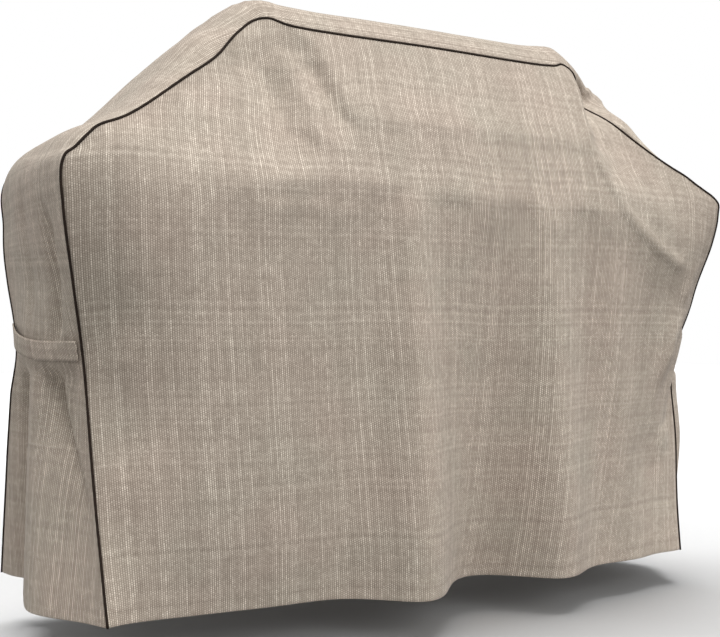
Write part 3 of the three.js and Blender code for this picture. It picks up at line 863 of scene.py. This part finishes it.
LIGHT_THREAD = (0.93, 0.83, 0.71)
MIDDLE_THREAD = (0.40, 0.336, 0.276)
DARK_THREAD = (0.12, 0.093, 0.072)
OUTSIDE = woven_cloth("woven_cloth", LIGHT_THREAD, MIDDLE_THREAD, DARK_THREAD)
INSIDE = coated_backing()
TAPE = twill_tape("piping_tape", (0.010, 0.006, 0.004), (0.034, 0.021, 0.014))
BINDING = twill_tape("binding_tape", (0.024, 0.016, 0.011), (0.075, 0.052, 0.038))
CORD = twisted_yarn("filler_cord", (0.50, 0.48, 0.43), (0.82, 0.80, 0.74))
THREAD = twisted_yarn("sewing_thread", (0.16, 0.13, 0.10), (0.34, 0.29, 0.24))
HOOKS = nylon_pile("hook_tape", (0.09, 0.08, 0.07), (0.26, 0.23, 0.20), 0.0013, 0.0008)
LOOPS = nylon_pile("loop_tape", (0.12, 0.105, 0.09), (0.28, 0.25, 0.22), 0.0007, 0.0004)

# -------- the sewn panels

FRONT_GRID = settle(front_surface())
BACK_GRID = settle(back_surface()[:, ::-1])
GUSSET_GRID = settle(gusset_surface())[:, ::-1]

FRONT_SHEET = folded_hem(FRONT_GRID, PANEL_HEM_INSET)
BACK_SHEET = folded_hem(BACK_GRID, PANEL_HEM_INSET)
GUSSET_SHEET = folded_hem(GUSSET_GRID, GUSSET_HEM_INSET)[::-1, ::-1]
GUSSET_SHEET = folded_hem(GUSSET_SHEET, GUSSET_HEM_INSET)[::-1, ::-1]

# Each panel is cut from its own part of the weave, so each has its own shift.
front_uv = cloth_uv(FRONT_SHEET, PANEL_COLUMNS // 2)
back_uv = cloth_uv(BACK_SHEET, PANEL_COLUMNS // 2) + (3.1, 0.4)
gusset_uv = cloth_uv(GUSSET_SHEET, GUSSET_COLUMNS // 2)
gusset_uv[..., 1] = lengths_along(GUSSET_SHEET[:, GUSSET_COLUMNS // 2])[:, None]
front = sheet_piece("front_cloth", FRONT_SHEET, front_uv, CLOTH, OUTSIDE, INSIDE)
back = sheet_piece("back_cloth", BACK_SHEET, back_uv, CLOTH, OUTSIDE, INSIDE)
gusset = sheet_piece("gusset_cloth", GUSSET_SHEET, gusset_uv + (7.3, 0.9), CLOTH, OUTSIDE, INSIDE)
for piece, node in ((front, "front_panel"), (back, "back_panel"), (gusset, "gusset_band")):
    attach(piece, "cover")
    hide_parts(node)

# -------- piping

for word, seam in (("front", FRONT_SEAM), ("back", BACK_SEAM)):
    station = even_stations(seam, 0, STATIONS, PIPING_STEP)
    path = settle(along_seam(seam, station))
    other = settle(along_seam(BACK_SEAM if word == "front" else FRONT_SEAM, station))
    wall = [np.full((1, PIPING_SIDES), radius) for radius in (PIPING_RADIUS, PIPING_HOLE)]
    wrap = tube_piece(f"{word}_piping_wrap", path, other - path, wall, TAPE)
    angle = np.linspace(0, 2 * np.pi, CORD_SIDES, endpoint=False)
    turn = lengths_along(path)[:, None] * 2 * np.pi / CORD_LAY + angle
    strands = CORD_RADIUS * (0.92 + 0.08 * np.cos(3 * turn))
    yarn = tube_piece(f"{word}_filler_cord", path, other - path, [strands], CORD)
    for piece, node, slot in ((wrap, "piping", "piping_tape"), (yarn, "piping_cord", "filler_cord")):
        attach(piece, "cover")
        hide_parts(f"{word}_{node}")

# -------- bound seam allowances


def binding_grid(seam, sign):
    """A fin along the inside of a seam, from near the piping inwards."""
    station = even_stations(seam, 0, STATIONS, STEP)
    a, b, outward = gusset_frame(station)
    inward = unit(unit(b - a) * sign - outward)
    reach = np.linspace(BINDING_START, BINDING_START + BINDING_DEPTH, 4)
    grid = along_seam(seam, station)[:, None] + inward[:, None] * reach[None, :, None]
    grid[..., 2] = np.maximum(grid[..., 2], 0.004)  # stays above the hem
    return settle(grid)


for word, seam, sign in (("front", FRONT_SEAM, 1), ("back", BACK_SEAM, -1)):
    grid = binding_grid(seam, sign)
    piece = sheet_piece(f"{word}_binding", grid, cloth_uv(grid, 0), BINDING_THICKNESS, BINDING, BINDING)
    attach(piece, "cover")
    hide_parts(f"{word}_seam_binding")

# -------- straps


def strip_grid(left, start, end, bottom, top, lift, bow=0.0):
    """A strip on the gusset above the waist. start and end are places across, from the front seam."""
    across = np.linspace(start, end, round((end - start) * STRAP_LENGTH / STRIP_STEP) + 1)
    rise = STRAP_RISE * np.clip((across - 0.3) / 0.7, 0, 1) ** 1.5
    height = np.linspace(bottom, top, round((top - bottom) / STRIP_ROW) + 1)[:, None] + rise
    station = np.linspace(1.2, 3.4, 200)  # from well below the strap to above it
    station = station if left else STATIONS - station
    outward = gusset_frame(station)[2]
    cloth = gusset_points(station, across) + outward[:, None] * (lift + bow * np.sin(np.pi * across)[:, None])
    columns = [points_at(height[:, c], cloth[:, c, 2], cloth[:, c]) for c in range(len(across))]
    grid = settle(np.stack(columns, axis=1))
    return grid[:, ::-1] if left else grid


def edge_line(grid, side):
    """The stitches' line just inside one edge of a strip, and the strip's normals there."""
    edge, inner = (0, 1) if side == "low" else (len(grid) - 1, len(grid) - 2)
    width = np.linalg.norm(grid[edge] - grid[inner], axis=-1).mean()
    return mix(grid[edge], grid[inner], STRAP_SEAM_INSET / width), grid_normals(grid)[edge]


for word, left in (("left", True), ("right", False)):
    high, lift = STRAP_LOW + STRAP_WIDTH, STRAP_LIFT + STRAP_THICKNESS
    strap_grid = strip_grid(left, STRAP_START, STRAP_END, STRAP_LOW, high, lift, STRAP_BOW)
    strap_uv = cloth_uv(strap_grid, 0) + (1.7, 2.3)
    strap = sheet_piece(f"{word}_strap_cloth", strap_grid, strap_uv, STRAP_THICKNESS, OUTSIDE, OUTSIDE)
    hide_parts(f"{word}_strap")
    patch = left, PATCH_START, PATCH_END, STRAP_LOW + PATCH_MARGIN, STRAP_LOW + STRAP_WIDTH - PATCH_MARGIN
    grid = strip_grid(*patch, STRAP_LIFT - PATCH_GAP, STRAP_BOW)
    hook = sheet_piece(f"{word}_hook_tape", grid, cloth_uv(grid, 0), PATCH_THICKNESS, BINDING, HOOKS)
    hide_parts(f"{word}_strap_hook_patch")
    seam_lines = [edge_line(strap_grid, side) for side in ("low", "high")]
    sewing = stitches(f"{word}_strap_stitches", seam_lines)
    for piece in (strap, hook, sewing):
        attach(piece, f"{word}_strap")
    grid = strip_grid(*patch, PATCH_THICKNESS + PATCH_GAP)
    loop = sheet_piece(f"{word}_loop_tape", grid, cloth_uv(grid, 0), PATCH_THICKNESS, LOOPS, BINDING)
    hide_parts(f"{word}_strap_loop_patch")
    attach(loop, "cover")

# -------- hem stitches


def hem_line(grid):
    """The hem stitches' line on the outside of a panel, and the panel's normals there."""
    normals = grid_normals(grid)[round(HEM_STITCH_HEIGHT / STEP)]
    height = lengths_along(grid)
    points = np.stack([points_at(HEM_STITCH_HEIGHT, height[:, c], grid[:, c]) for c in range(grid.shape[1])])
    return points + normals * HEM_STITCH_LIFT, normals


front_stitches = stitches("front_hem_stitches", [hem_line(FRONT_GRID)])
back_stitches = stitches("back_hem_stitches", [hem_line(BACK_GRID)])
gusset_lines = [hem_line(GUSSET_GRID), hem_line(GUSSET_GRID[::-1, ::-1])]
gusset_stitches = stitches("gusset_hem_stitches", gusset_lines)
for piece in (front_stitches, back_stitches, gusset_stitches):
    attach(piece, "cover")

# -------- floor, light and camera

FLOOR_HEIGHT = -0.080  # the cover's hem hangs this far above the ground
FLOOR_REACH = 14.0
BACKDROP_LIGHT, AMBIENT_LIGHT = 1.0, 0.37  # the world as the camera sees it, and as it lights the scene
CAMERA_PLACE = Vector((-1.437, -2.2416, 0.542))
CAMERA_TURN = np.radians(31.34)
CAMERA_TILT = np.radians(0.526)
CAMERA_LENS = 58.26


def floor_material():
    g = Graph("pale_floor")
    place = g.node("ShaderNodeTexCoord").outputs["Object"]
    reach = g.node("ShaderNodeVectorMath", (place,), operation="LENGTH").outputs["Value"]
    # Painted shade: the floor's colour is darker within 1.2 m of the cover and lightens out to 4 m, with a
    # little random unevenness.
    far = g.add(g.scale(reach, 1.2, 4.0, 0, 1), g.times(g.noise(place, 3.0), 0.03))
    colour = g.mix_colour(far, (0.58, 0.58, 0.58, 1), (0.82, 0.82, 0.82, 1))
    return g.finish(colour, g.scale(g.noise(place, 60.0), 0, 1, 0.6, 0.8), g.noise(place, 300.0), 0.02, 0.001)


corners = np.array([(-1, -1, 0), (1, -1, 0), (1, 1, 0), (-1, 1, 0)]) * FLOOR_REACH + (0, 0, FLOOR_HEIGHT)
floor = new_mesh("floor", corners, [[0, 1, 2, 3]], corners[:, :2], [0], [floor_material()], [False])
floor.visible_diffuse = False  # a white floor would light the skirt from below


def studio_sun(name, towards, energy, angle):
    """A soft, distant light. angle is its width in degrees."""
    data = bpy.data.lights.new(name, "SUN")
    data.energy = energy
    data.angle = np.radians(angle)
    holder = in_scene(name, data)
    holder.rotation_euler = Vector(towards).to_track_quat("Z", "Y").to_euler()
    return holder


key_light = studio_sun("key_light", (0.05, -0.46, 0.88), 3.85, 55)
studio_sun("fill_light", (-0.76, 0.58, 0.28), 0.56, 30)
floor_lights = [
    studio_sun("floor_light", (0.03, 0.24, 0.97), 3.75, 52),
    studio_sun("floor_fill", (0.10, -0.95, 0.25), 1.1, 60),
]

# The floor has its own lights, so that the shadow lies in front of the cover too.
on_floor = bpy.data.collections.new("on_floor")
on_floor.objects.link(floor)
for light in floor_lights:
    light.light_linking.receiver_collection = on_floor
off_floor = bpy.data.collections.new("off_floor")
off_floor.objects.link(floor)
off_floor.collection_objects[0].light_linking.link_state = "EXCLUDE"
key_light.light_linking.receiver_collection = off_floor

world = bpy.data.worlds.new("studio")
bpy.context.scene.world = world
world.use_nodes = True
nodes, links = world.node_tree.nodes, world.node_tree.links
backdrop = nodes["Background"]
ambient = nodes.new("ShaderNodeBackground")
for background, strength in ((backdrop, BACKDROP_LIGHT), (ambient, AMBIENT_LIGHT)):
    background.inputs[0].default_value = (1, 1, 1, 1)
    background.inputs[1].default_value = strength
ray = nodes.new("ShaderNodeLightPath")
blend = nodes.new("ShaderNodeMixShader")
links.new(ray.outputs["Is Camera Ray"], blend.inputs[0])
links.new(ambient.outputs[0], blend.inputs[1])
links.new(backdrop.outputs[0], blend.inputs[2])
links.new(blend.outputs[0], nodes["World Output"].inputs[0])

camera_data = bpy.data.cameras.new("camera")
camera_data.lens = CAMERA_LENS
camera_data.sensor_width = 36.0
camera_data.clip_start = 0.05
camera_data.clip_end = 60.0
camera = in_scene("camera", camera_data)
level = np.cos(CAMERA_TILT)
look = Vector((np.sin(CAMERA_TURN) * level, np.cos(CAMERA_TURN) * level, np.sin(CAMERA_TILT)))
camera.location = CAMERA_PLACE
camera.rotation_euler = look.to_track_quat("-Z", "Y").to_euler()
bpy.context.scene.camera = camera
bpy.context.scene.view_settings.view_transform = "Standard"
